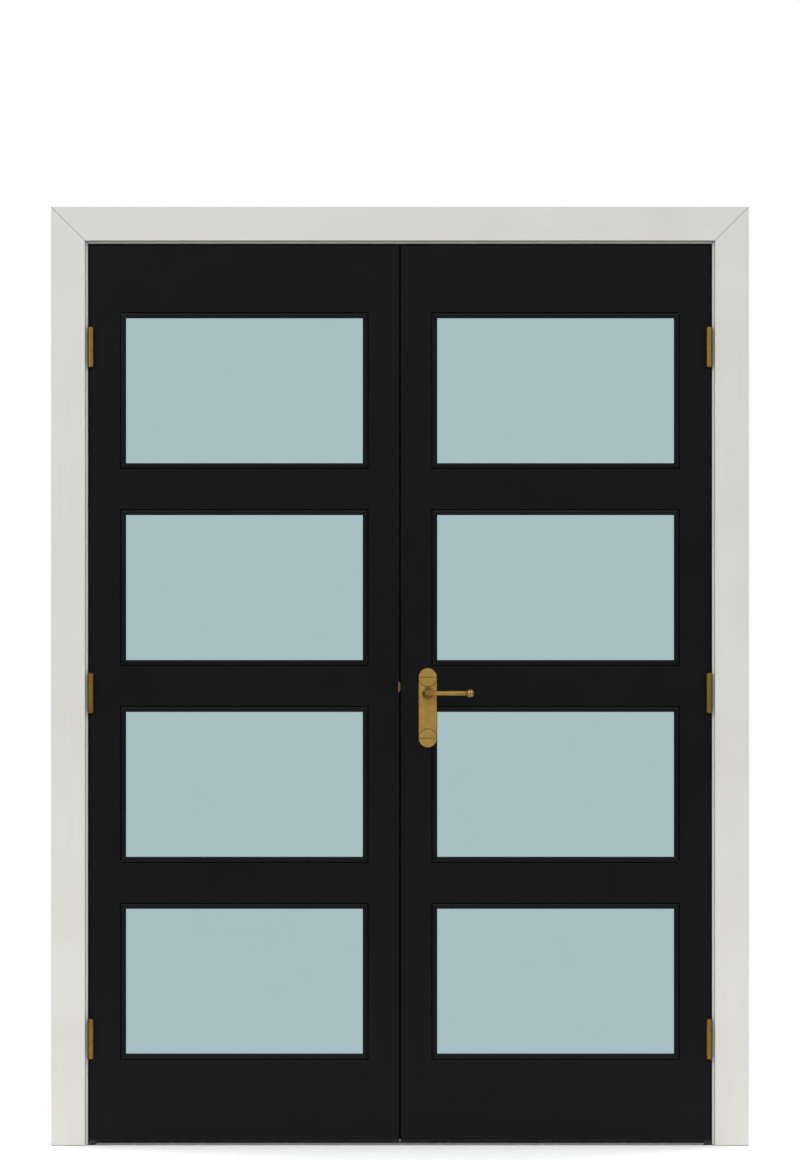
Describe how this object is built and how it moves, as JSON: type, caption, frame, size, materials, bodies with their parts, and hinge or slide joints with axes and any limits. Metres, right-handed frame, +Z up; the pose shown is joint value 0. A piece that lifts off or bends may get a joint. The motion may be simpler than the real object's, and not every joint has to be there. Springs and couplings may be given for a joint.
{
  "type": "french doors",
  "caption": "Pair of glazed timber french doors hung in their lining with stops, architraves, threshold, latch, lever and flush bolts.",
  "frame": {"origin": "on the floor, at the middle of the opening's width and of the lining's depth", "axes": "+X to the right seen from the side that the leaves open towards, +Y away from that side, through the opening, +Z up"},
  "size_m": [1.543, 0.2072, 2.076],
  "materials": {
    "frame_paint": "satin off-white paint on softwood",
    "door_paint": "satin black paint on hardwood",
    "glass": "clear toughened glass with a pale blue-green tint",
    "brass": "aged satin brass",
    "steel": "bright zinc-plated steel",
    "threshold_metal": "grey anodised aluminium"
  },
  "bodies": {
    "frame": {"left_jamb": "frame_paint", "right_jamb": "frame_paint", "head_lining": "frame_paint", "left_stop": "frame_paint", "right_stop": "frame_paint", "head_stop": "frame_paint", "front_left_architrave": "frame_paint", "front_right_architrave": "frame_paint", "front_head_architrave": "frame_paint", "rear_left_architrave": "frame_paint", "rear_right_architrave": "frame_paint", "rear_head_architrave": "frame_paint", "threshold_strip": "threshold_metal", "head_bolt_keep": "brass", "left_frame_hinge_leaves": "brass", "right_frame_hinge_leaves": "brass", "hinge_pins": "brass", "frame_screws": "brass"},
    "left_leaf": {"left_hinge_stile": "door_paint", "left_meeting_stile": "door_paint", "left_top_rail": "door_paint", "left_mid_rails": "door_paint", "left_bottom_rail": "door_paint", "left_glass_1": "glass", "left_glass_2": "glass", "left_glass_3": "glass", "left_glass_4": "glass", "left_front_beads": "door_paint", "left_rear_beads": "door_paint", "left_door_hinge_leaves": "brass", "left_door_screws": "brass", "strike_plate": "brass", "flush_bolt_plates": "brass"},
    "right_leaf": {"right_hinge_stile": "door_paint", "right_meeting_stile": "door_paint", "right_top_rail": "door_paint", "right_mid_rails": "door_paint", "right_bottom_rail": "door_paint", "right_glass_1": "glass", "right_glass_2": "glass", "right_glass_3": "glass", "right_glass_4": "glass", "right_front_beads": "door_paint", "right_rear_beads": "door_paint", "right_door_hinge_leaves": "brass", "right_door_screws": "brass", "front_backplate": "brass", "rear_backplate": "brass", "handle_bolts": "brass", "latch_case": "steel", "latch_faceplate": "brass", "latch_spring": "steel"},
    "lever": {"front_lever": "brass", "rear_lever": "brass", "spindle": "steel", "latch_follower": "steel", "lever_grub_screws": "steel"},
    "latch": {"latch_bolt": "brass"},
    "top_bolt": {"top_flush_bolt": "brass"},
    "bottom_bolt": {"bottom_flush_bolt": "brass"}
  },
  "joints": [
    {"name": "left_swing", "type": "hinge", "parent": "frame", "child": "left_leaf", "pos_m": [-0.684, -0.0735, 1.0005], "axis": [0, 0, -1], "range_deg": [0, 160]},
    {"name": "right_swing", "type": "hinge", "parent": "frame", "child": "right_leaf", "pos_m": [0.684, -0.0735, 1.0005], "axis": [0, 0, 1], "range_deg": [0, 160]},
    {"name": "lever_turn", "type": "hinge", "parent": "right_leaf", "child": "lever", "pos_m": [0.0615, -0.0485, 1.0005], "axis": [0, 1, 0], "range_deg": [0, 40], "stiffness_Nm_per_rad": 0.8, "springref_deg": -34.38},
    {"name": "latch_slide", "type": "slide", "parent": "right_leaf", "child": "latch", "axis": [1, 0, 0], "range_m": [0, 0.0105], "deforming": ["latch_spring"]},
    {"name": "top_bolt_slide", "type": "slide", "parent": "left_leaf", "child": "top_bolt", "axis": [0, 0, 1], "range_m": [0, 0.015]},
    {"name": "bottom_bolt_slide", "type": "slide", "parent": "left_leaf", "child": "bottom_bolt", "axis": [0, 0, -1], "range_m": [0, 0.01]}
  ],
  "couplings": [
    {"joint": "latch_slide", "follows": "lever_turn", "m_per_rad": 0.01504}
  ]
}
